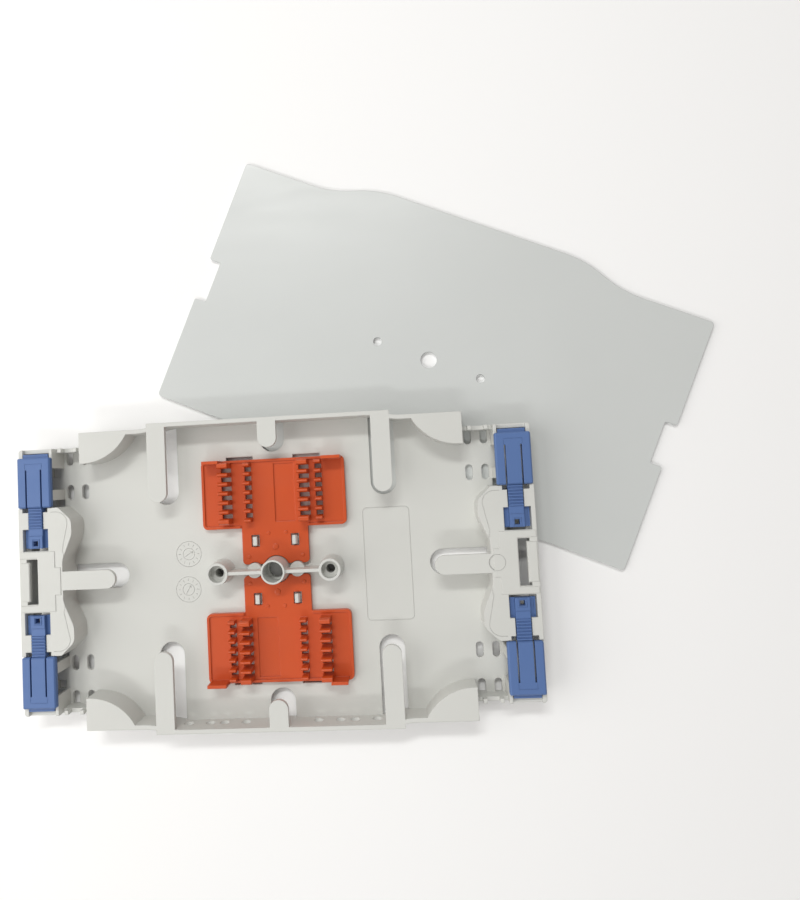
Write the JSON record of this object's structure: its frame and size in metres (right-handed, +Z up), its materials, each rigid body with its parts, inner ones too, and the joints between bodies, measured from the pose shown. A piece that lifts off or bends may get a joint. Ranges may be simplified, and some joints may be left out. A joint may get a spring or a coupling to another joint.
{
  "type": "fibre splice tray",
  "caption": "Flat moulded tray that coils fibre under retaining fingers and holds splices in clip-in combs, with sliding corner latches and a loose cover sheet under it.",
  "frame": {"origin": "on the axis of the centre post, at the underside of the tray", "axes": "+X along the tray's length, +Y across it towards the wall without pin holes, +Z up out of the open tray"},
  "size_m": [0.2723, 0.2232, 0.0146],
  "materials": {
    "tray_plastic": "warm light grey injection moulding, fine satin texture",
    "holder_plastic": "red orange injection moulding, soft gloss",
    "latch_plastic": "mid blue injection moulding, matt",
    "lid_plastic": "pale grey thin sheet moulding, smooth satin"
  },
  "bodies": {
    "tray_body": {"tray": "tray_plastic", "splice_holder_north": "holder_plastic", "splice_holder_south": "holder_plastic", "lid": "lid_plastic"},
    "latch_ne": {"latch_ne": "latch_plastic"},
    "latch_nw": {"latch_nw": "latch_plastic"},
    "latch_se": {"latch_se": "latch_plastic"},
    "latch_sw": {"latch_sw": "latch_plastic"}
  },
  "joints": [
    {"name": "latch_ne_slide", "type": "slide", "parent": "tray_body", "child": "latch_ne", "axis": [0, 1, 0], "range_m": [0, 0.006]},
    {"name": "latch_nw_slide", "type": "slide", "parent": "tray_body", "child": "latch_nw", "axis": [0, 1, 0], "range_m": [0, 0.006]},
    {"name": "latch_se_slide", "type": "slide", "parent": "tray_body", "child": "latch_se", "axis": [0, -1, 0], "range_m": [0, 0.006]},
    {"name": "latch_sw_slide", "type": "slide", "parent": "tray_body", "child": "latch_sw", "axis": [0, -1, 0], "range_m": [0, 0.006]}
  ]
}
